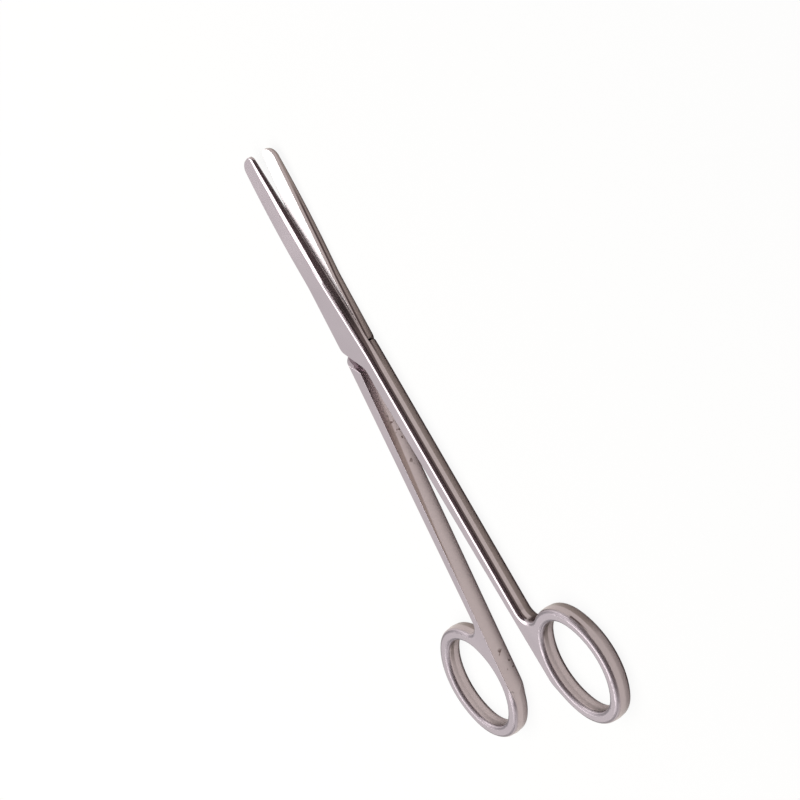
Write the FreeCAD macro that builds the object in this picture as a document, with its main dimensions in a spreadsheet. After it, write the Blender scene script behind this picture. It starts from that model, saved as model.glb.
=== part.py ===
"""Dissecting scissors, straight, 18 cm: two forged halves crossed at a lap joint, and the screw they turn on.

Each half is drawn closed, in a frame of its own: the pivot is the origin, +X runs to the tips, the
mating face lies at height 0 and the outer face is up. The cutting edge and the shank are on the -Y side,
the blade's back on the +Y side. The two halves are twins: one turned half round about X is the other.
In the assembly they lie open, on the flat outer face of the back half, with the pivot above the origin.
"""
import FreeCAD, Part
import math
import os
import sys

import Sketcher
from FreeCAD import Placement, Rotation, Vector

# Driving dimensions, in millimetres and degrees.
SIZES = {
    # whole tool
    "tip_reach": 50.8,           # pivot to the tips
    "ring_reach": 111.4,         # pivot to the middle of a finger ring
    "half_depth": 2.65,          # mating face to outer face
    "side_slope": 7.0,           # the sides lean in from their ridge at mid height
    "lap_gap": 0.02,             # play between the mating faces
    "shank_gap": 0.3,            # between the two shanks when closed
    "rest_opening": 11.1,        # angle between the halves as they lie
    # blade
    "edge_width_joint": 4.76,    # pivot line to the cutting edge, at the pivot
    "edge_width_tip": 2.47,
    "back_width_joint": 4.1,     # pivot line to the blade's back, at the pivot
    "back_width_tip": 2.68,
    "tip_slant": 0.9,            # the end slopes away from the cutting edge
    "tip_edge_round": 1.7,
    "tip_back_round": 2.9,
    "blade_taper_start": 14.0,
    "blade_middle": 37.0,        # pivot to the section that sets the outer face's curve
    "back_depth_middle": 2.25,   # thickness at the blade's back, at that section
    "edge_depth_middle": 1.9,    # thickness above the cutting edge, at that section
    "back_depth_tip": 1.4,
    "edge_depth_tip": 1.15,
    "edge_bevel_tip": 0.85,      # height of the bevel above the edge, at the tip
    "edge_shoulder_slope": 35.0, # the flank above that bevel leans in
    "back_edge_round": 0.3,
    # joint
    "lap_edge_back": 7.4,        # pivot to the boss's outer corner, along the tool
    "lap_edge_root": 14.6,       # where it meets the inner wall of the shank
    "lap_edge_round": 3.5,
    "boss_width": 6.1,           # pivot line to the boss's outer corner
    "boss_round": 2.6,
    "flare_start": 12.0,         # pivot to where the blade's back starts to widen to the boss
    "flare_round": 30.0,
    "shoulder_play": 0.35,       # between a shoulder and the other half's boss, closed
    "shoulder_reach": 9.5,       # pivot to the shoulder's foot, at the outer side
    "shoulder_rise": 2.2,        # length of the shoulder's slope there
    # shank
    "shank_width_joint": 5.55,   # inner face plane to the ridge, at the pivot
    "shank_width_ring": 3.47,
    "shank_bend_round": 60.0,
    "shank_ring_round": 3.5,
    # finger ring
    "ring_offset": 14.7,         # pivot line to the middle of the ring
    "hole_half_length": 14.0,
    "hole_half_width": 11.3,
    "hole_end_round": 9.6,
    "rim_width": 3.7,
    # edges
    "outer_edge_round": 1.25,
    "hole_edge_round": 1.2,
    # pivot screw
    "screw_head_width": 5.2,
    "screw_head_depth": 1.2,
    "screw_head_sunk": 0.05,
    "screw_shank_width": 3.4,
    "screw_thread_width": 3.0,
    "screw_thread_depth": 1.9,   # into the front half
    "screw_slot_width": 0.7,
    "screw_slot_depth": 0.6,
    "screw_play": 0.03,          # all round the shank and under the head
    "thread_play": 0.01,
}
BEYOND = 6.0                     # how far cutting shapes run past the steel
PAST = 2.0                       # how far the blank runs past its trimmed sides
SNUG = 1e-4                      # two heights this close are the same

doc = FreeCAD.newDocument("dissecting_scissors")
sheet = doc.addObject("Spreadsheet::Sheet", "Sizes")
for row, (alias, value) in enumerate(SIZES.items(), start=1):
    sheet.set(f"A{row}", alias.replace("_", " "))
    sheet.set(f"B{row}", str(value))
    sheet.setAlias(f"B{row}", alias)
doc.recompute()


def size(alias):
    """A driving dimension, read back from the sheet."""
    return float(getattr(sheet, alias))


# Sizes worked out from the driving ones.
HALF_DEPTH = size("half_depth")
LEAN = HALF_DEPTH * math.tan(math.radians(size("side_slope")))
INNER_WALL = -size("shank_gap") / 2
RING_X = -size("ring_reach")
RING_Y = -size("ring_offset")
REST_HALF_ANGLE = size("rest_opening") / 2


def cutting_edge_y(x):
    """The cutting edge's line, a straight one from the tip to behind the joint."""
    slope = (size("edge_width_joint") - size("edge_width_tip")) / size("tip_reach")
    return -size("edge_width_joint") + slope * x


def blade_back_y(x):
    slope = (size("back_width_joint") - size("back_width_tip")) / size("tip_reach")
    return size("back_width_joint") - slope * x


def shank_side_y(x):
    """The shank's outer ridge, from the pivot's line to the front of the ring."""
    front_of_ring = RING_X + size("hole_half_length") + size("rim_width")
    slope = (size("shank_width_joint") - size("shank_width_ring")) / front_of_ring
    return -size("shank_width_joint") + slope * x


def lap_edge_ends():
    """The two ends of the boss's slanting edge: at the inner wall, and at the outer corner."""
    root = Vector(-size("lap_edge_root"), INNER_WALL, 0)
    back = Vector(-size("lap_edge_back"), size("boss_width"), 0)
    return root, back


# Plane geometry.
def line(start, end):
    return Part.LineSegment(start, end)


def arc(centre, radius, start, end, clockwise=False):
    """An arc from start to end about centre."""
    first = math.atan2(start.y - centre.y, start.x - centre.x)
    last = math.atan2(end.y - centre.y, end.x - centre.x)
    if clockwise:
        first, last = last, first
    if last <= first:
        last += 2 * math.pi
    return Part.ArcOfCircle(Part.Circle(centre, Vector(0, 0, 1), radius), first, last)


def rounded_corner(before, corner, after, radius):
    """Tangent points and centre of the arc that rounds a corner between two straight sides."""
    to_before = (before - corner).normalize()
    to_after = (after - corner).normalize()
    half_angle = to_before.getAngle(to_after) / 2
    middle = (to_before + to_after).normalize()
    reach = radius / math.tan(half_angle)
    centre = corner + middle * (radius / math.sin(half_angle))
    return corner + to_before * reach, centre, corner + to_after * reach


def meeting_x(line_a, line_b):
    """Where two straight lines, given as functions of x, cross."""
    slope_a = line_a(1.0) - line_a(0.0)
    slope_b = line_b(1.0) - line_b(0.0)
    return (line_b(0.0) - line_a(0.0)) / (slope_a - slope_b)


class Oval:
    """An oval of four tangent arcs about the ring's middle, wider all round by a margin."""

    def __init__(self, margin):
        half_length = size("hole_half_length")
        half_width = size("hole_half_width")
        end = size("hole_end_round")
        reach = half_length - end
        side = (reach ** 2 + half_width ** 2 - end ** 2) / (2 * (half_width - end))
        drop = side - half_width
        self.end_radius = end + margin
        self.side_radius = side + margin
        self.front = Vector(RING_X + reach, RING_Y, 0)
        self.rear = Vector(RING_X - reach, RING_Y, 0)
        self.inner = Vector(RING_X, RING_Y - drop, 0)
        self.outer = Vector(RING_X, RING_Y + drop, 0)
        self.top_y = RING_Y + half_width + margin

    def joint(self, end_centre, side_centre):
        """The point where an end arc runs into a side arc."""
        return end_centre + (end_centre - side_centre).normalize() * self.end_radius

    def arcs(self):
        """All four arcs, counter-clockwise."""
        front_inner = self.joint(self.front, self.inner)
        rear_inner = self.joint(self.rear, self.inner)
        rear_outer = self.joint(self.rear, self.outer)
        front_outer = self.joint(self.front, self.outer)
        return [
            arc(self.inner, self.side_radius, front_inner, rear_inner),
            arc(self.rear, self.end_radius, rear_inner, rear_outer),
            arc(self.outer, self.side_radius, rear_outer, front_outer),
            arc(self.front, self.end_radius, front_outer, front_inner),
        ]


def half_outline():
    """The half seen from above at mid height, as a closed run of lines and arcs.

    Its inner wall, its back and its tip are drawn past their places: a later cut leaves them upright.
    """
    front_x = size("tip_reach") + PAST
    edge_tip = Vector(front_x, cutting_edge_y(front_x), 0)
    back_tip = Vector(front_x, blade_back_y(front_x) + PAST, 0)
    bend_x = meeting_x(cutting_edge_y, shank_side_y)
    bend = Vector(bend_x, cutting_edge_y(bend_x), 0)
    rim = Oval(size("rim_width"))

    # The round between the shank and the front of the ring touches both from outside.
    far = Vector(RING_X, shank_side_y(RING_X), 0)
    along = (far - bend).normalize()
    outward = Vector(-along.y, along.x, 0)
    round_radius = size("shank_ring_round")
    track = bend + outward * round_radius
    to_ring = rim.front - track
    foot = along * to_ring.dot(along)
    height = (to_ring - foot).Length
    reach = math.sqrt((rim.end_radius + round_radius) ** 2 - height ** 2)
    round_centre = track + foot - along * reach
    on_shank = round_centre - outward * round_radius
    on_ring = rim.front + (round_centre - rim.front).normalize() * rim.end_radius

    bend_front, bend_centre, bend_rear = rounded_corner(edge_tip, bend, on_shank, size("shank_bend_round"))
    past_wall = rim.top_y
    root, back = lap_edge_ends()
    step_foot = Vector(root.x - BEYOND, past_wall, 0)
    step_top = Vector(root.x, back.y + PAST, 0)
    inner_start = Vector(RING_X, past_wall, 0)
    foot_a, foot_centre, foot_b = rounded_corner(inner_start, step_foot, step_top, BEYOND / 2)
    top_a, top_centre, top_b = rounded_corner(step_foot, step_top, back_tip, BEYOND / 2)
    back_a, back_centre, back_b = rounded_corner(step_top, back_tip, edge_tip, PAST)
    edge_a, edge_centre, edge_b = rounded_corner(back_tip, edge_tip, bend, PAST)
    front_outer = rim.joint(rim.front, rim.outer)
    rear_outer = rim.joint(rim.rear, rim.outer)
    rear_inner = rim.joint(rim.rear, rim.inner)
    return [
        arc(rim.outer, rim.side_radius, rear_outer, front_outer),
        arc(rim.rear, rim.end_radius, rear_inner, rear_outer),
        arc(rim.inner, rim.side_radius, inner_start, rear_inner),
        line(inner_start, foot_a),
        arc(foot_centre, BEYOND / 2, foot_a, foot_b),
        line(foot_b, top_a),
        arc(top_centre, BEYOND / 2, top_b, top_a),
        line(top_b, back_a),
        arc(back_centre, PAST, back_b, back_a),
        line(back_b, edge_a),
        arc(edge_centre, PAST, edge_b, edge_a),
        line(edge_b, bend_front),
        arc(bend_centre, size("shank_bend_round"), bend_rear, bend_front),
        line(bend_rear, on_shank),
        arc(round_centre, round_radius, on_ring, on_shank, clockwise=True),
        arc(rim.front, rim.end_radius, front_outer, on_ring),
    ]


def polygon(points):
    """Straight sides round a list of (x, y) points."""
    corners = [Vector(x, y, 0) for x, y in points]
    return [line(a, b) for a, b in zip(corners, corners[1:] + corners[:1])]


# Building blocks of a body.
def origin_plane(body, role):
    return next(item for item in body.Origin.OriginFeatures if item.Role == role)


def add_sketch(body, name, role, geometry, lift=0.0):
    """A sketch on one of the body's own origin planes, raised along its normal by lift."""
    sketch = body.newObject("Sketcher::SketchObject", name)
    sketch.AttachmentSupport = [(origin_plane(body, role), "")]
    sketch.MapMode = "FlatFace"
    sketch.AttachmentOffset = Placement(Vector(0, 0, lift), Rotation())
    for piece in geometry:
        sketch.addGeometry(piece, False)
    return sketch


def add_feature(body, kind, name, sketch=None, **settings):
    """A feature on a sketch. Text settings are expressions, the rest are plain values."""
    feature = body.newObject(kind, name)
    if sketch is not None:
        feature.Profile = sketch
        sketch.Visibility = False
    for key, value in settings.items():
        if isinstance(value, str) and value.startswith("="):
            feature.setExpression(key, value[1:])
        else:
            setattr(feature, key, value)
    return feature


def flat_edges(shape, height, near):
    """Names of the edges that lie at a height and pass a test on their middle point."""
    names = []
    for number, edge in enumerate(shape.Edges, start=1):
        box = edge.BoundBox
        if abs(box.ZMin - height) < SNUG and abs(box.ZMax - height) < SNUG and near(edge):
            names.append(f"Edge{number}")
    return names


def round_edges(body, name, base, names, alias):
    fillet = body.newObject("PartDesign::Fillet", name)
    fillet.Base = (base, names)
    fillet.setExpression("Radius", f"Sizes.{alias}")
    doc.recompute()
    return fillet


def ring_hole_edge(edge):
    """Whether an edge belongs to the finger hole and not to the outline."""
    middle = edge.valueAt((edge.FirstParameter + edge.LastParameter) / 2)
    within_rim = LEAN + size("rim_width") / 3
    reach_x = (middle.x - RING_X) / (size("hole_half_length") + within_rim)
    reach_y = (middle.y - RING_Y) / (size("hole_half_width") + within_rim)
    return reach_x ** 2 + reach_y ** 2 < 1.0


def outer_back_edges(shape):
    """Names of the edges between the outer face and the upright side of the blade's back."""
    names = []
    for number, edge in enumerate(shape.Edges, start=1):
        middle = edge.valueAt((edge.FirstParameter + edge.LastParameter) / 2)
        on_back = abs(middle.y - blade_back_y(middle.x)) < SNUG
        if on_back and middle.x > -size("lap_edge_back") and middle.z > size("edge_bevel_tip"):
            names.append(f"Edge{number}")
    return names


def build_half(label):
    """One forged half, up to its screw hole."""
    body = doc.addObject("PartDesign::Body", label)
    body.Label = label

    # Both depths from one outline, leaning in from the ridge at mid height.
    outline = half_outline() + Oval(0.0).arcs()
    upper_sketch = add_sketch(body, f"{label}_outline", "XY_Plane", outline)
    upper = add_feature(body, "PartDesign::Pad", f"{label}_outer_depth", upper_sketch,
                        Length="=Sizes.half_depth", TaperAngle="=-Sizes.side_slope")
    lower_sketch = add_sketch(body, f"{label}_outline_below", "XY_Plane", outline)
    lower = add_feature(body, "PartDesign::Pad", f"{label}_inner_depth", lower_sketch,
                        Reversed=True, Length="=Sizes.half_depth", TaperAngle="=-Sizes.side_slope")
    doc.recompute()

    # Worked edges.
    base = lower
    for side, height in (("outer", HALF_DEPTH), ("under", -HALF_DEPTH)):
        rim_names = flat_edges(base.Shape, height, lambda edge: not ring_hole_edge(edge))
        base = round_edges(body, f"{label}_{side}_edge", base, rim_names, "outer_edge_round")
        hole_names = flat_edges(base.Shape, height, ring_hole_edge)
        base = round_edges(body, f"{label}_{side}_hole_edge", base, hole_names, "hole_edge_round")

    # The upright sides: the shank's inner wall, the boss's slanting edge, the blade's back and its end.
    root, back = lap_edge_ends()
    tip_x = size("tip_reach")
    behind = Vector(2 * RING_X, INNER_WALL, 0)
    back_tip = Vector(tip_x - size("tip_slant"), blade_back_y(tip_x - size("tip_slant")), 0)
    edge_tip = Vector(tip_x, cutting_edge_y(tip_x), 0)
    edge_behind = Vector(0, cutting_edge_y(0), 0)
    wall_end, wall_centre, edge_start = rounded_corner(behind, root, back, size("lap_edge_round"))
    flare = Vector(size("flare_start"), blade_back_y(size("flare_start")), 0)
    boss_a, boss_centre, boss_b = rounded_corner(root, back, flare, size("boss_round"))
    flare_a, flare_centre, flare_b = rounded_corner(back, flare, back_tip, size("flare_round"))
    back_a, back_centre, back_b = rounded_corner(flare, back_tip, edge_tip, size("tip_back_round"))
    end_a, end_centre, end_b = rounded_corner(back_tip, edge_tip, edge_behind, size("tip_edge_round"))
    outside = [Vector(end_b.x, end_b.y - BEYOND, 0), Vector(tip_x + BEYOND, end_b.y - BEYOND, 0),
               Vector(tip_x + BEYOND, back.y + BEYOND, 0), Vector(behind.x, back.y + BEYOND, 0)]
    wall = [
        line(behind, wall_end),
        arc(wall_centre, size("lap_edge_round"), wall_end, edge_start),
        line(edge_start, boss_a),
        arc(boss_centre, size("boss_round"), boss_b, boss_a),
        line(boss_b, flare_a),
        arc(flare_centre, size("flare_round"), flare_a, flare_b),
        line(flare_b, back_a),
        arc(back_centre, size("tip_back_round"), back_b, back_a),
        line(back_b, end_a),
        arc(end_centre, size("tip_edge_round"), end_b, end_a),
    ] + [line(a, b) for a, b in zip([end_b] + outside, outside + [behind])]
    wall_sketch = add_sketch(body, f"{label}_upright_sides", "XY_Plane", wall)
    add_feature(body, "PartDesign::Pocket", f"{label}_upright_side_cut", wall_sketch, Type=1, Midplane=True)

    # The room for the other half's boss. Behind it a shoulder rises, steep at the inner wall and
    # sloping at the outer side.
    inner_x = -size("lap_edge_root") - size("shoulder_play")
    outer_y = cutting_edge_y(-size("shoulder_reach"))
    foot_slope = (-size("shoulder_reach") - inner_x) / outer_y
    depth_scale = (HALF_DEPTH + size("lap_gap")) / HALF_DEPTH
    rise = size("shoulder_rise") * depth_scale
    past_y = size("shank_gap")
    side_y = size("shank_width_joint") + PAST
    foot = [(inner_x + foot_slope * past_y, past_y), (inner_x - foot_slope * side_y, -side_y)]
    deep = [(foot[0][0] - size("shoulder_play"), past_y), (foot[1][0] - rise, -side_y)]
    front_x = size("tip_reach") + BEYOND
    far_side = [(front_x, -side_y), (front_x, side_y)]
    sections = []
    for tag, lift, (inner, outer) in (("foot", 0.0, foot), ("deep", -HALF_DEPTH * depth_scale, deep)):
        points = [inner, outer] + far_side + [(inner[0], side_y)]
        sections.append(add_sketch(body, f"{label}_lap_{tag}", "XY_Plane", polygon(points), lift))
    lap = body.newObject("PartDesign::SubtractiveLoft", f"{label}_lap_room")
    lap.Profile = sections[0]
    lap.Sections = [sections[1]]
    lap.Ruled = True

    # The blade thins towards its tip, and more at its cutting edge than at its back.
    start_x = size("blade_taper_start")
    middle_x = size("blade_middle")
    stations = []
    for place, x, back_depth, edge_depth in (
            ("start", start_x, HALF_DEPTH + size("lap_gap"), HALF_DEPTH + size("lap_gap")),
            ("middle", middle_x, size("back_depth_middle"), size("edge_depth_middle")),
            ("tip", tip_x, size("back_depth_tip"), size("edge_depth_tip"))):
        back_y, edge_y = blade_back_y(x), cutting_edge_y(x)
        slope = (back_depth - edge_depth) / (back_y - edge_y)
        low_back = (back_y + PAST, back_depth + slope * PAST)
        low_edge = (edge_y - PAST, edge_depth - slope * PAST)
        high_y = HALF_DEPTH + BEYOND
        points = [low_edge, low_back, (low_back[0], high_y), (low_edge[0], high_y)]
        stations.append(add_sketch(body, f"{label}_thinning_{place}", "YZ_Plane", polygon(points), x))
    thin = body.newObject("PartDesign::SubtractiveLoft", f"{label}_blade_thinning")
    thin.Profile = stations[0]
    thin.Sections = stations[1:]
    doc.recompute()

    # The flank above the cutting bevel, which fades out at the joint.
    root_x = -size("lap_edge_back")
    lean_rate = LEAN / HALF_DEPTH
    slope = math.radians(size("edge_shoulder_slope"))
    facet = Vector(math.cos(slope), math.sin(slope), 0) * HALF_DEPTH
    bevel = size("edge_bevel_tip")
    corner = Vector(cutting_edge_y(root_x) + LEAN, HALF_DEPTH, 0)
    low = Vector(cutting_edge_y(tip_x) + lean_rate * bevel, bevel, 0)
    profiles = []
    for place, x, centre in (("joint", root_x, corner), ("tip", tip_x, low)):
        outer = centre - facet
        inner = centre + facet
        points = [(outer.x, outer.y), (inner.x, inner.y), (outer.x, inner.y)]
        profiles.append(add_sketch(body, f"{label}_flank_{place}", "YZ_Plane", polygon(points), x))
    flank = body.newObject("PartDesign::SubtractiveLoft", f"{label}_edge_flank")
    flank.Profile = profiles[0]
    flank.Sections = [profiles[1]]
    flank.Ruled = True
    doc.recompute()

    # The outer edge of the blade's back is broken lightly, up to the tip.
    back_names = outer_back_edges(flank.Shape)
    round_edges(body, f"{label}_back_edge", flank, back_names, "back_edge_round")
    return body


def screw_radii(play):
    """Radii of the head and the shank with some play, and the height of the head's top over the mating face."""
    head = size("screw_head_width") / 2 + play
    shank = size("screw_shank_width") / 2 + play
    top = HALF_DEPTH - size("screw_head_sunk")
    return head, shank, top


def bore_back_half(body):
    """A through hole for the screw's shank, countersunk for its head from the outer face."""
    head, shank, top = screw_radii(size("screw_play"))
    seat = top - size("screw_head_depth")
    outline = polygon([(0, -BEYOND), (shank, -BEYOND), (shank, seat), (head, top),
                       (head, HALF_DEPTH + BEYOND), (0, HALF_DEPTH + BEYOND)])
    sketch = add_sketch(body, "back_half_screw_seat", "XZ_Plane", outline)
    add_feature(body, "PartDesign::Groove", "back_half_bore", sketch,
                ReferenceAxis=(sketch, ["V_Axis"]), Angle=360.0)


def bore_front_half(body):
    """A blind tapped hole from the mating face."""
    radius = size("screw_thread_width") / 2 + size("thread_play")
    circle = Part.Circle(Vector(0, 0, 0), Vector(0, 0, 1), radius)
    sketch = add_sketch(body, "front_half_thread_circle", "XY_Plane", [circle])
    sketch.addConstraint(Sketcher.Constraint("Coincident", 0, 3, -1, 1))
    sketch.addConstraint(Sketcher.Constraint("Diameter", 0, 2 * radius))
    sketch.setExpression("Constraints[1]", "Sizes.screw_thread_width + 2 * Sizes.thread_play")
    add_feature(body, "PartDesign::Pocket", "front_half_thread", sketch,
                Reversed=True, Length="=Sizes.screw_thread_depth + Sizes.screw_play")


def build_screw():
    """The slotted countersunk screw, head up, turned over with the back half in the assembly."""
    body = doc.addObject("PartDesign::Body", "pivot_screw")
    body.Label = "pivot_screw"
    head, shank, top = screw_radii(0.0)
    seat = top - size("screw_head_depth")
    thread = size("screw_thread_width") / 2
    thread_end = -size("lap_gap") - size("screw_thread_depth")
    outline = polygon([(0, thread_end), (thread, thread_end), (thread, -size("lap_gap")),
                       (shank, -size("lap_gap")), (shank, seat), (head, top), (0, top)])
    sketch = add_sketch(body, "pivot_screw_profile", "XZ_Plane", outline)
    add_feature(body, "PartDesign::Revolution", "pivot_screw_turned", sketch,
                ReferenceAxis=(sketch, ["V_Axis"]), Angle=360.0)
    half = size("screw_slot_width") / 2
    slot = polygon([(-BEYOND, -half), (BEYOND, -half), (BEYOND, half), (-BEYOND, half)])
    slot_sketch = add_sketch(body, "pivot_screw_slot_line", "XY_Plane", slot, top)
    add_feature(body, "PartDesign::Pocket", "pivot_screw_slot", slot_sketch, Length="=Sizes.screw_slot_depth")
    return body


front_half = build_half("front_half")
bore_front_half(front_half)
back_half = build_half("back_half")
bore_back_half(back_half)
pivot_screw = build_screw()
doc.recompute()

# Assembly: the back half lies face down, the front half on top, each turned half the opening.
turned_over = Rotation(Vector(1, 0, 0), 180)
front_turn = Rotation(Vector(0, 0, 1), REST_HALF_ANGLE)
back_turn = Rotation(Vector(0, 0, 1), -REST_HALF_ANGLE)
back_half.Placement = Placement(Vector(0, 0, HALF_DEPTH), back_turn * turned_over)
pivot_screw.Placement = Placement(Vector(0, 0, HALF_DEPTH), front_turn * turned_over)
front_half.Placement = Placement(Vector(0, 0, HALF_DEPTH + size("lap_gap")), front_turn)
doc.recompute()

failed = [item.Name for item in doc.Objects if "Invalid" in item.State or "Error" in item.State]
if failed:
    sys.exit(f"these objects failed: {failed}")
os.makedirs("parts", exist_ok=True)
for body in (front_half, back_half, pivot_screw):
    shape = body.Shape
    if shape.isNull() or not shape.isValid() or len(shape.Solids) != 1:
        sys.exit(f"{body.Label} is not one sound solid")
    shape.exportStep(f"parts/{body.Label}.step")
    print(f"{body.Label}: {shape.Volume:.1f} mm3")
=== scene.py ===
import math
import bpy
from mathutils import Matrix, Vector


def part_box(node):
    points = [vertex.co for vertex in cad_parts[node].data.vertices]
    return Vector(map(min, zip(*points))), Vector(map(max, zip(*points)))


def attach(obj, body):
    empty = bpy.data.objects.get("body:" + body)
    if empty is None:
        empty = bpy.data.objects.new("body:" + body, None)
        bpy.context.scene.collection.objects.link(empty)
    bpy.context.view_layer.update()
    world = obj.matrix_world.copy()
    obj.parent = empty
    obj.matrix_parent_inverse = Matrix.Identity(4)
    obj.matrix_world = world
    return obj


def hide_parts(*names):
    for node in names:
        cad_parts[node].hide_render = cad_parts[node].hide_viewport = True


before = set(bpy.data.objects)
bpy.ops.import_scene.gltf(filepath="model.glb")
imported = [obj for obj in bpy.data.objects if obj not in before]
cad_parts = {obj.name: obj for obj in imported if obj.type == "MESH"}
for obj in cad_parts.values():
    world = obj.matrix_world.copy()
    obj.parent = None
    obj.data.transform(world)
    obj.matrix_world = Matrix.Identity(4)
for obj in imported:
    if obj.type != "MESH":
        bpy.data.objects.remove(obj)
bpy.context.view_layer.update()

from types import SimpleNamespace

import bpy
from mathutils import Matrix, Vector

MM = 0.001

# Places on the scissors
low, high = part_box("back_half")
LYING_HEIGHT = low.z
LAP_HEIGHT = high.z / 2                # where the halves lie on each other
HALF_DEPTH = LAP_HEIGHT - LYING_HEIGHT
OPENING = math.radians(11.1)           # between the halves in the resting pose

# The picture
PICTURE_SIDE = 800                     # pixels
AIM = Vector((-26.12, -5.96, 2.66)) * MM
CAMERA_AZIMUTH = math.radians(5.99)
CAMERA_HEIGHT_ANGLE = math.radians(30.51)
CAMERA_ROLL = math.radians(27.9)
CAMERA_DISTANCE = 765.5 * MM
PICTURE_SCALE = 3.713                  # pixels for each mm at the aim
SENSOR = 36.0


def linear(hex_colour):
    """An sRGB hex colour as linear RGBA."""
    channels = [int(hex_colour[i:i + 2], 16) / 255 for i in (0, 2, 4)]
    return [c / 12.92 if c <= 0.04045 else ((c + 0.055) / 1.055) ** 2.4 for c in channels] + [1.0]


def in_mm(*values):
    """Places or sizes given in mm, in metres."""
    return tuple(value * MM for value in values)


def add_node(tree, kind, settings=None, **links):
    """A node with its settings and what feeds its inputs: an output socket, or a plain value."""
    node = tree.nodes.new(kind)
    for key, value in (settings or {}).items():
        setattr(node, key, value)
    for key, value in links.items():
        name = key.replace("_", " ")
        socket = node.inputs[int(key[1:])] if key[0] == "i" and key[1:].isdigit() else node.inputs[name]
        if isinstance(value, bpy.types.NodeSocket):
            tree.links.new(value, socket)
        else:
            socket.default_value = value
    return node


def new_material(name):
    material = bpy.data.materials.new(name)
    material.use_nodes = True
    material.node_tree.nodes.clear()
    return material, material.node_tree


def calculate(tree, operation, *values):
    """The result of a math node on one or two values."""
    inputs = {f"i{index}": value for index, value in enumerate(values)}
    return add_node(tree, "ShaderNodeMath", {"operation": operation}, **inputs).outputs[0]


def ramp(tree, value, start, end, first=0.0, last=1.0):
    """What goes from first to last while a value goes from start to end."""
    return add_node(tree, "ShaderNodeMapRange", Value=value, From_Min=start, From_Max=end,
                    To_Min=first, To_Max=last).outputs[0]


def overlap(tree, mask, *others):
    """Where every mask holds."""
    for other in others:
        mask = calculate(tree, "MULTIPLY", mask, other)
    return mask


def window(tree, value, start, end, soft):
    """1 where a value lies between two limits, falling to 0 over a soft border."""
    return overlap(tree, ramp(tree, value, start - soft, start),
                   ramp(tree, value, end, end + soft, 1.0, 0.0))


def noise(tree, place, size, detail):
    return add_node(tree, "ShaderNodeTexNoise", Vector=place, Scale=1 / size, Detail=detail).outputs["Fac"]


def mix_colour(tree, share, colour, hex_colour):
    return add_node(tree, "ShaderNodeMix", {"data_type": "RGBA"}, i0=share, i6=colour,
                    i7=linear(hex_colour)).outputs[2]


def mix_value(tree, share, value, other):
    return add_node(tree, "ShaderNodeMix", {"data_type": "FLOAT"}, i0=share, i2=value, i3=other).outputs[0]


# Where the steel of a half changes in roughness, and where colours are painted on it as shade and
# reflections; the pits are real marks. A window is its start, its end and its soft border. Along is
# the object's X, towards the tips, and a facing is a part of the surface's normal.
LAP_WINDOW = (LAP_HEIGHT - 0.04 * MM, LAP_HEIGHT + 0.04 * MM, 0.01 * MM)
LEVEL = (0.95, 1.1, 0.02)

SIDES_ALONG = in_mm(-98, 60, 5)
TURNED_DOWN = (-0.3, -0.05, 0.02)
UPRIGHT = (-0.3, 0.3, 0.05)
LINE_SLANT_ALONG = in_mm(-8, 16)
LINE_DEPTH = in_mm(0.35, 1.15)         # of the painted shade line under the lap, over that slant
LINE_SIDES_ALONG = in_mm(-15, 60, 1)
UNDER_LINE = in_mm(-0.25, 6, 0.1)
LINE_WIDTH = in_mm(-0.25, 0.2, 0.2)
LINE_ALONG = in_mm(-8, 32, 8)

BAND_SLANT_ALONG = in_mm(-16, -4)
BAND_FOOT = in_mm(-1.25, -0.65)        # the lower limit of the front half's painted dark reflection band, as a depth
BAND_HEIGHT = in_mm(-4, 0, 0.15)
BAND_FACING_UP = (-0.2, 0.26, 0.2)
BAND_FACING_ACROSS = (-1.1, -0.7, 0.1)
BAND_ALONG = in_mm(-98, 4, 3)

RINGS_ALONG = in_mm(-140, -106, 6)
RINGS_OUTWARDS = in_mm(15, 60, 2)
RIM_FACING = (0.25, 0.97, 0.02)
RIM_TOP_FACING = (0.75, 0.97, 0.02)

WALL_FACING = (-1.1, -0.9, 0.05)
BROWN_SLANT_ALONG = in_mm(-66, -20)
BROWN_REACH = in_mm(0.3, 2.5)          # how far down the wall the painted brown reflection goes, over that slant
BROWN_HEIGHT = in_mm(-6, 0, 0.4)
BROWN_ALONG = in_mm(-70, -32, 12)

PIT_SIZE = 1.5 * MM
PIT_LIMITS = (0.60, 0.66)              # of the noise, so only its peaks are pits
PITS_NEAR_JOINT = in_mm(-42, -28, 3)
PITS_NEAR_RING_ALONG = in_mm(-109, -102, 1)
PITS_NEAR_RING_ACROSS = in_mm(5, 20, 1)
PITS_HEIGHT = in_mm(0.6, 3.2, 0.5)

# The steel's finish, and the colours painted on it as shade and reflections
GRAIN_SIZE = in_mm(6, 0.25, 0.25)
GRAIN_DEPTH = 0.004 * MM
GRAIN_STRENGTH = 0.25
CLOUD_SIZE = 14 * MM
CLOUD_RANGE = (0.3, 0.7)
EDGE_SOFTNESS = 0.2 * MM
POLISHED_ROUGHNESS = (0.16, 0.22)
RING_ROUGHNESS = 0.22
GROUND_ROUGHNESS = 0.42
POLISHED = ("afa4a9", "b5aaae")
# Painted bright reflection: the mating faces are painted paler than the polished steel.
PAINTED_BRIGHT_LAP = "e9e4e4"
# Painted shade: the lower sides and a line under the lap are darker.
PAINTED_SHADE_SIDES = "958989"
PAINTED_SHADE_LINE = "504446"
# Painted dark reflection: the band under the front half's upper edge.
PAINTED_REFLECTION_BAND = "5a4e50"
# Painted shade: the tops of the ring rims are darker, dimming their highlight.
PAINTED_SHADE_ON_RIMS = "7d7579"
# Painted reflection: the upper strip of the shank's inner wall is browner, for the other shank mirrored in
# it.
PAINTED_REFLECTION_WALL = "8b7d7c"
PIT = "6a5c5c"


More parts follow.
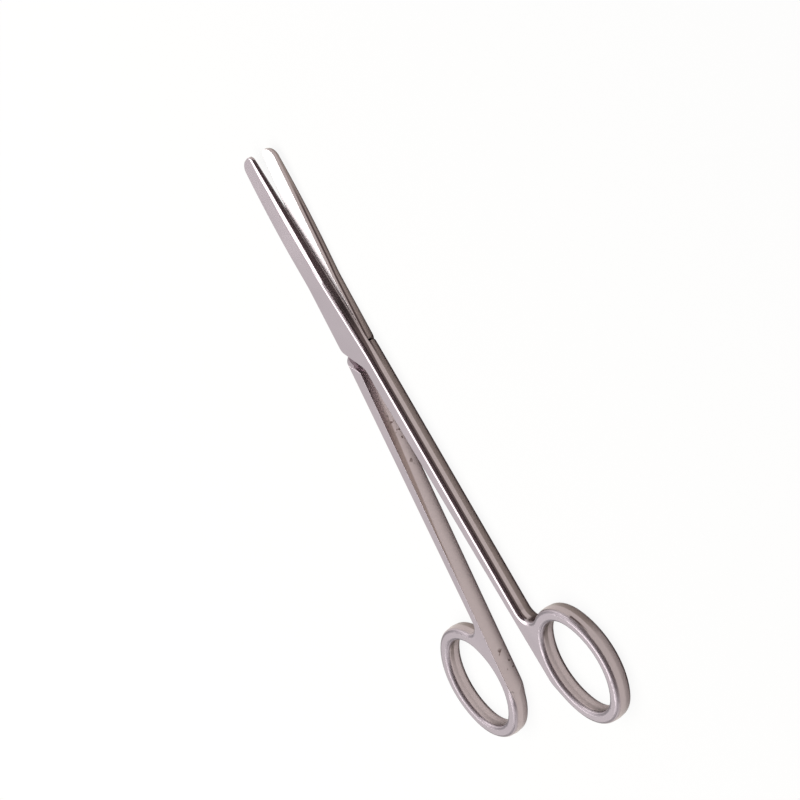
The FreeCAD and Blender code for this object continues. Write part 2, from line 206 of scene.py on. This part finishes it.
def surface(tree):
    """Where a point of a half lies and how its surface faces, in the object's own axes."""
    coordinates = add_node(tree, "ShaderNodeTexCoord").outputs
    along, across, height = add_node(tree, "ShaderNodeSeparateXYZ", Vector=coordinates["Object"]).outputs
    facing = add_node(tree, "ShaderNodeSeparateXYZ", Vector=coordinates["Normal"]).outputs
    return SimpleNamespace(place=coordinates["Object"], along=along, across=across, height=height,
                           facing_across=facing["Y"], facing_up=facing["Z"],
                           below_lap=calculate(tree, "SUBTRACT", LAP_HEIGHT, height))


def mating_face(tree, at):
    level = calculate(tree, "ABSOLUTE", at.facing_up)
    return overlap(tree, window(tree, at.height, *LAP_WINDOW), window(tree, level, *LEVEL))


def painted_shade_sides(tree, at):
    """Painted shade: the sides from a line a little under the lap down to the board, and the line itself."""
    turned_down = overlap(tree, window(tree, at.facing_up, *TURNED_DOWN),
                          window(tree, at.along, *SIDES_ALONG))
    line_depth = ramp(tree, at.along, *LINE_SLANT_ALONG, *LINE_DEPTH)
    below_line = calculate(tree, "SUBTRACT", at.below_lap, line_depth)
    upright = overlap(tree, window(tree, at.facing_up, *UPRIGHT), window(tree, below_line, *UNDER_LINE),
                      window(tree, at.along, *LINE_SIDES_ALONG))
    sides = calculate(tree, "MAXIMUM", turned_down, upright)
    line = overlap(tree, window(tree, below_line, *LINE_WIDTH), window(tree, at.along, *LINE_ALONG), sides)
    return sides, line


def band_of_painted_reflection(tree, at):
    """Painted dark reflection: the front half's side right under its rounded upper edge."""
    foot = ramp(tree, at.along, *BAND_SLANT_ALONG, *BAND_FOOT)
    below_foot = calculate(tree, "SUBTRACT", at.below_lap, foot)
    return overlap(tree, window(tree, below_foot, *BAND_HEIGHT),
                   window(tree, at.facing_up, *BAND_FACING_UP), window(tree, at.along, *BAND_ALONG),
                   window(tree, at.facing_across, *BAND_FACING_ACROSS))


def finger_rings(tree, at):
    outwards = calculate(tree, "ABSOLUTE", at.across)
    return calculate(tree, "MAXIMUM", window(tree, at.along, *RINGS_ALONG),
                     window(tree, outwards, *RINGS_OUTWARDS))


def painted_reflection_wall(tree, at):
    """Painted brown reflection of the other shank: the upper strip of the shank's inner wall, which widens
    towards the joint.
    """
    reach = ramp(tree, at.along, *BROWN_SLANT_ALONG, *BROWN_REACH)
    below_top = calculate(tree, "SUBTRACT", LAP_HEIGHT + HALF_DEPTH, at.height)
    below_reach = calculate(tree, "SUBTRACT", below_top, reach)
    return overlap(tree, window(tree, below_reach, *BROWN_HEIGHT), window(tree, at.along, *BROWN_ALONG),
                   window(tree, at.facing_across, *WALL_FACING))


def wall_pits(tree, at):
    """Small spots on the shank's inner wall, near the joint and where the ring begins."""
    spots = ramp(tree, noise(tree, at.place, PIT_SIZE, 1.0), *PIT_LIMITS)
    near_ring = overlap(tree, window(tree, at.along, *PITS_NEAR_RING_ALONG),
                        window(tree, at.across, *PITS_NEAR_RING_ACROSS))
    stretches = calculate(tree, "MAXIMUM", window(tree, at.along, *PITS_NEAR_JOINT), near_ring)
    on_wall = overlap(tree, window(tree, at.height, *PITS_HEIGHT),
                      window(tree, at.facing_across, *WALL_FACING))
    return overlap(tree, spots, stretches, on_wall)


# Materials
def steel_with_painted_light(pits_and_painted_reflection):
    """Forged stainless steel, ground and polished to a satin: soft, slightly warm reflections.

    The mating faces are rougher, so they scatter the light, and their colour is painted paler as a
    painted bright reflection; the rims of the finger rings are rougher too. The lower sides and the
    line under the lap are painted darker as shade, the band under the front half's upper edge is a
    painted dark reflection, and the tops of the rims are painted darker as shade over their highlight.
    Where the flag holds, the upper strip of the shank's inner wall is painted browner as a reflection
    of the other shank near the joint, and the wall has a few small dark pits, in colour only.
    """
    material, tree = new_material("satin_polished_stainless_steel" + ("_pits_with_painted_reflection" if pits_and_painted_reflection else ""))
    at = surface(tree)
    grain_place = add_node(tree, "ShaderNodeVectorMath", {"operation": "MULTIPLY"}, i0=at.place,
                           i1=[1 / size for size in GRAIN_SIZE]).outputs[0]
    grain = noise(tree, grain_place, 1.0, 2.0)
    clouds = noise(tree, at.place, CLOUD_SIZE, 3.0)
    softened = add_node(tree, "ShaderNodeBevel", {"samples": 6}, Radius=EDGE_SOFTNESS).outputs[0]
    bump = add_node(tree, "ShaderNodeBump", Height=grain, Strength=GRAIN_STRENGTH, Distance=GRAIN_DEPTH,
                    Normal=softened).outputs[0]

    lap = mating_face(tree, at)
    sides, line = painted_shade_sides(tree, at)
    rings = finger_rings(tree, at)
    rims = overlap(tree, rings, window(tree, at.facing_up, *RIM_FACING))
    # The rim tops, where a darker colour is painted as shade over their highlight.
    rim_shade_mask = overlap(tree, rings, window(tree, at.facing_up, *RIM_TOP_FACING))

    # Painted light: the mating faces painted pale as a bright reflection, the lower sides and the line under
    # the lap painted darker as shade.
    tints = [(lap, PAINTED_BRIGHT_LAP), (sides, PAINTED_SHADE_SIDES), (line, PAINTED_SHADE_LINE)]
    if pits_and_painted_reflection:
        # The rim tops painted darker as shade, the inner wall's upper strip painted brown as a reflection,
        # and real pits.
        tints += [(rim_shade_mask, PAINTED_SHADE_ON_RIMS), (painted_reflection_wall(tree, at), PAINTED_REFLECTION_WALL), (wall_pits(tree, at), PIT)]
    else:
        # The front half's band painted dark as a reflection, and the rim tops painted darker as shade over
        # their highlight.
        tints += [(band_of_painted_reflection(tree, at), PAINTED_REFLECTION_BAND), (rim_shade_mask, PAINTED_SHADE_ON_RIMS)]
    colour = mix_colour(tree, clouds, linear(POLISHED[0]), POLISHED[1])
    for mask, tint in tints:
        colour = mix_colour(tree, mask, colour, tint)
    rough = ramp(tree, clouds, *CLOUD_RANGE, *POLISHED_ROUGHNESS)
    for mask, roughness in ((lap, GROUND_ROUGHNESS), (rings, RING_ROUGHNESS), (rims, GROUND_ROUGHNESS)):
        rough = mix_value(tree, mask, rough, roughness)

    shader = add_node(tree, "ShaderNodeBsdfPrincipled", Base_Color=colour, Metallic=1.0, Roughness=rough,
                      Normal=bump)
    add_node(tree, "ShaderNodeOutputMaterial", Surface=shader.outputs[0])
    return material


TURNED_RING_WIDTH = 1.2 * MM
TURNED_RING_DEPTH = 0.005 * MM


def turned_steel():
    """Turned stainless steel of the screw: fine rings round its axis."""
    material, tree = new_material("turned_stainless_steel")
    place = add_node(tree, "ShaderNodeTexCoord").outputs["Object"]
    rings = add_node(tree, "ShaderNodeTexWave", {"wave_type": "RINGS", "rings_direction": "Z"}, Vector=place,
                     Scale=1 / TURNED_RING_WIDTH, Distortion=0.4).outputs["Fac"]
    bump = add_node(tree, "ShaderNodeBump", Height=rings, Strength=0.3,
                    Distance=TURNED_RING_DEPTH).outputs[0]
    shader = add_node(tree, "ShaderNodeBsdfPrincipled", Base_Color=linear("b5b0ad"), Metallic=1.0,
                      Roughness=0.26, Normal=bump)
    add_node(tree, "ShaderNodeOutputMaterial", Surface=shader.outputs[0])
    return material


FLOOR_WHITE = 0.92                     # how much of plain white the camera sees in the board


def pale_floor():
    """A plain pale board. The camera sees it almost white, with the object's soft shadow."""
    material, tree = new_material("pale_matt_board")
    board = add_node(tree, "ShaderNodeBsdfDiffuse", Color=linear("faf7ee")).outputs[0]
    white = add_node(tree, "ShaderNodeEmission", Color=linear("ffffff"), Strength=1.0).outputs[0]
    seen = add_node(tree, "ShaderNodeLightPath").outputs["Is Camera Ray"]
    share = calculate(tree, "MULTIPLY", seen, FLOOR_WHITE)
    mixed = add_node(tree, "ShaderNodeMixShader", i0=share, i1=board, i2=white)
    add_node(tree, "ShaderNodeOutputMaterial", Surface=mixed.outputs[0])
    return material


def dark_card():
    """A matt dark card beside the camera, which gives the steel's bevels their dark edge."""
    material, tree = new_material("dark_matt_card")
    shader = add_node(tree, "ShaderNodeBsdfDiffuse", Color=linear("7c7073"))
    add_node(tree, "ShaderNodeOutputMaterial", Surface=shader.outputs[0])
    return material


# The object
def dress(node_name, material):
    """A material on a CAD node whose shape stays as it is."""
    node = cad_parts[node_name]
    node.data.materials.clear()
    node.data.materials.append(material)


def fade(value, start, end):
    """0 at start, 1 at end and a smooth way between."""
    share = min(max((value - start) / (end - start), 0.0), 1.0)
    return share * share * (3 - 2 * share)


# Places on one half, in its own frame: pivot at 0, +X to the tips, the shank on -Y, the outer face up.
EDGE_ROUND_REACH = 1.16 * MM           # how far the edge round reaches in from the shank's inner wall
EDGE_ROUND_HEIGHT = 0.7                # where the edge round begins, as a share of the half's depth
INNER_WALL_FRONT = -17.0 * MM
INNER_WALL_REAR = (-112.0 * MM, -119.0 * MM)
SHOULDER_ROOT = -14.95 * MM            # the shoulder's foot at the inner wall
SHOULDER_SLANT = -1.05                 # its way along the shank for each step outwards
SHOULDER_PLAY = 0.35 * MM
SHOULDER_RISE = 2.2 * MM               # the length of its slope at the shank's outer side
SHOULDER_LIMIT = 0.1 * MM              # the shoulder lies below this height over the mating face
SHOULDER_CLOSING = {"front": (1.0, 0.95 * MM), "back": (-0.35, 0.0)}   # straightening, outer advance
SHANK_WIDTH = 5.2 * MM
SHOULDER_BEHIND = -32.0 * MM
BLADE_ROOT = -6.5 * MM
BORE_REACH = 5.0 * MM
FACE_KINDS = (("outer", 20), ("flank", 60), ("wall", 100))   # up to which tilt a face is of a kind
EDGE_SIDE_SHARE = 0.3                  # how clearly a flank's face looks to the cutting edge's side
FLANK_TILT = (2.0, 31.0)               # degrees from the outer face, at the flank's upper and lower line
WALL_TILT = (52.0, 80.0)
SAME_SPOT = 0.005 * MM
SMALLEST_MOVE = 0.001 * MM


def keen_inner_edge(x, y, height):
    """The shank's inner wall meets the flats in keen edges, so its edge round is drawn out to them."""
    if y < -EDGE_ROUND_REACH or x > INNER_WALL_FRONT or abs(height) < HALF_DEPTH * EDGE_ROUND_HEIGHT:
        return height
    share = 1 - fade(x, *INNER_WALL_REAR)
    return height + (math.copysign(HALF_DEPTH, height) - height) * share


def close_shoulder(x, y, height, straightening, outer_advance):
    """The shoulder's slope stands up, or leans back where straightening is below 0.

    Its outer side comes forward by outer_advance, towards the other half's boss.
    """
    outwards = min(max(-y / SHANK_WIDTH, 0.0), 1.0)
    foot = SHOULDER_ROOT + SHOULDER_SLANT * y
    slope = SHOULDER_PLAY + (SHOULDER_RISE - SHOULDER_PLAY) * outwards
    depth = min(max(-height / HALF_DEPTH, 0.0), 1.0)
    if height > SHOULDER_LIMIT or x > foot + SHOULDER_PLAY:
        return x
    advance = straightening * (slope - SHOULDER_PLAY) * depth + outer_advance * outwards ** 2
    return x + advance * fade(x, SHOULDER_BEHIND, foot - slope * depth)


def spot(place):
    return tuple(round(value / SAME_SPOT) for value in place)


def blade_normals(mesh, into, corner_normals):
    """The blade's flank shades as polished round, from its outer face over to the cutting edge."""
    turn = into.to_3x3().normalized()
    turn_back = turn.inverted()
    kinds = {}
    for face in mesh.polygons:
        normal, centre = turn @ face.normal, into @ face.center
        tilt = math.degrees(math.acos(max(min(normal.z, 1.0), -1.0)))
        if centre.x < BLADE_ROOT or centre.xy.length < BORE_REACH:
            continue
        kind = next((name for name, limit in FACE_KINDS if tilt < limit), None)
        if kind == "outer" or kind and normal.y < -EDGE_SIDE_SHARE * math.sin(math.radians(tilt)):
            kinds[face.index] = kind
    spots = {"outer": set(), "flank": set()}
    for index, kind in kinds.items():
        if kind in spots:
            spots[kind].update(spot(mesh.vertices[v].co) for v in mesh.polygons[index].vertices)
    for index, kind in kinds.items():
        if kind == "outer":
            continue
        above, (high_tilt, low_tilt) = ("outer", FLANK_TILT) if kind == "flank" else ("flank", WALL_TILT)
        for corner in mesh.polygons[index].loop_indices:
            vertex = mesh.vertices[mesh.loops[corner].vertex_index]
            tilt = math.radians(high_tilt if spot(vertex.co) in spots[above] else low_tilt)
            level = (turn @ mesh.polygons[index].normal).xy.normalized() * math.sin(tilt)
            corner_normals[corner] = turn_back @ Vector((level.x, level.y, math.cos(tilt)))


def ground_half(name, node_name, body, material):
    """A copy of a half's solid, with keen inner edges, its shoulder reshaped and its blade shaded."""
    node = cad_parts[node_name]
    mesh = node.data.copy()
    half = bpy.data.objects.new(name, mesh)
    bpy.context.scene.collection.objects.link(half)
    half.matrix_world = node.matrix_world
    if body == "front":
        own = Matrix.Translation((0, 0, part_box(node_name)[1].z - HALF_DEPTH))
        own = own @ Matrix.Rotation(OPENING / 2, 4, "Z")
    else:
        own = Matrix.Translation((0, 0, LYING_HEIGHT + HALF_DEPTH)) @ Matrix.Rotation(-OPENING / 2, 4, "Z")
        own = own @ Matrix.Rotation(math.pi, 4, "X")
    into = own.inverted() @ node.matrix_world
    out_of = into.inverted()
    corner_normals = [corner.vector.copy() for corner in mesh.corner_normals]
    moved = set()
    for vertex in mesh.vertices:
        x, y, height = into @ vertex.co
        ground_x = close_shoulder(x, y, height, *SHOULDER_CLOSING[body])
        place = Vector((ground_x, y, keen_inner_edge(x, y, height)))
        if (place - Vector((x, y, height))).length > SMALLEST_MOVE:
            vertex.co = out_of @ place
            moved.add(vertex.index)
    mesh.update()
    for face in mesh.polygons:
        if moved.intersection(face.vertices):
            for corner in face.loop_indices:
                corner_normals[corner] = face.normal.copy()
    blade_normals(mesh, into, corner_normals)
    mesh.normals_split_custom_set(corner_normals)
    mesh.materials.clear()
    mesh.materials.append(material)
    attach(half, body)
    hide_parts(node_name)


ground_half("front_half_ground", "front_half", "front", steel_with_painted_light(pits_and_painted_reflection=False))
ground_half("back_half_ground", "back_half", "back", steel_with_painted_light(pits_and_painted_reflection=True))
dress("pivot_screw", turned_steel())


# Floor, card, light and camera, in metres
FLOOR_SIDE = 6.0
FLOOR_GAP = 0.02 * MM
MIDDLE_X = -0.03                       # of the card and the soft box, over the object's middle
BOX_HEIGHT = 1.0
BOX_NEAR, BOX_FAR = 0.02, 0.97
BOX_WIDTH = 2.4
BOX_POWER = 22.0
CARD_FOOT = -1.0
CARD_WIDTH = 3.0
CARD_SETBACK = 0.02                    # keeps the card clear of the soft box's near edge
SURROUNDINGS = 0.22                    # the light of the white surroundings on matt surfaces


def flat_board(name, width, depth, place, turn, material):
    mesh = bpy.data.meshes.new(name)
    x, y = width / 2, depth / 2
    mesh.from_pydata([(-x, -y, 0), (x, -y, 0), (x, y, 0), (-x, y, 0)], [], [(0, 1, 2, 3)])
    board = bpy.data.objects.new(name, mesh)
    bpy.context.scene.collection.objects.link(board)
    board.location = place
    board.rotation_euler = turn
    mesh.materials.append(material)
    return board


def add_card():
    """The card leans from the floor behind the camera up to the soft box's near edge."""
    run = BOX_NEAR - CARD_FOOT
    place = (MIDDLE_X, (CARD_FOOT + BOX_NEAR) / 2 - CARD_SETBACK, BOX_HEIGHT / 2)
    card = flat_board("dark_card", CARD_WIDTH, math.hypot(BOX_HEIGHT, run), place,
                      (math.atan2(BOX_HEIGHT, run), 0, 0), dark_card())
    card.visible_camera = False


def add_soft_box():
    """A wide soft box over the object, facing straight down as an area light does by itself."""
    light = bpy.data.lights.new("overhead_soft_box", "AREA")
    light.shape = "RECTANGLE"
    light.size = BOX_WIDTH
    light.size_y = BOX_FAR - BOX_NEAR
    light.energy = BOX_POWER
    lamp = bpy.data.objects.new("overhead_soft_box", light)
    bpy.context.scene.collection.objects.link(lamp)
    lamp.location = (MIDDLE_X, (BOX_NEAR + BOX_FAR) / 2, BOX_HEIGHT)


def add_surroundings():
    """White all round for the camera and for what the steel mirrors, and dimmer as a light."""
    world = bpy.data.worlds.new("studio")
    bpy.context.scene.world = world
    world.use_nodes = True
    tree = world.node_tree
    tree.nodes.clear()
    path = add_node(tree, "ShaderNodeLightPath").outputs
    mirrored = calculate(tree, "MAXIMUM", path["Is Camera Ray"], path["Is Glossy Ray"])
    clear = calculate(tree, "MAXIMUM", mirrored, path["Is Transmission Ray"])
    strength = ramp(tree, clear, 0.0, 1.0, SURROUNDINGS, 1.0)
    sky = add_node(tree, "ShaderNodeBackground", Color=linear("ffffff"), Strength=strength)
    add_node(tree, "ShaderNodeOutputWorld", Surface=sky.outputs[0])


def add_camera():
    back = Vector((math.cos(CAMERA_HEIGHT_ANGLE) * math.sin(CAMERA_AZIMUTH),
                   -math.cos(CAMERA_HEIGHT_ANGLE) * math.cos(CAMERA_AZIMUTH),
                   math.sin(CAMERA_HEIGHT_ANGLE)))
    tool_up = (Vector((1, 0, 0)) - back * back.x).normalized()
    tool_right = tool_up.cross(back)
    right = tool_right * math.cos(CAMERA_ROLL) - tool_up * math.sin(CAMERA_ROLL)
    up = tool_right * math.sin(CAMERA_ROLL) + tool_up * math.cos(CAMERA_ROLL)
    data = bpy.data.cameras.new("camera")
    data.sensor_width = SENSOR
    data.lens = PICTURE_SCALE / MM * CAMERA_DISTANCE * SENSOR / PICTURE_SIDE
    data.clip_start = 0.05
    data.clip_end = 50
    camera = bpy.data.objects.new("camera", data)
    bpy.context.scene.collection.objects.link(camera)
    turn = Matrix((right, up, back)).transposed().to_4x4()
    camera.matrix_world = Matrix.Translation(AIM + back * CAMERA_DISTANCE) @ turn
    bpy.context.scene.camera = camera


flat_board("floor", FLOOR_SIDE, FLOOR_SIDE, (0, 0, LYING_HEIGHT - FLOOR_GAP), (0, 0, 0), pale_floor())
add_card()
add_soft_box()
add_surroundings()
add_camera()
bpy.context.scene.view_settings.view_transform = "Standard"
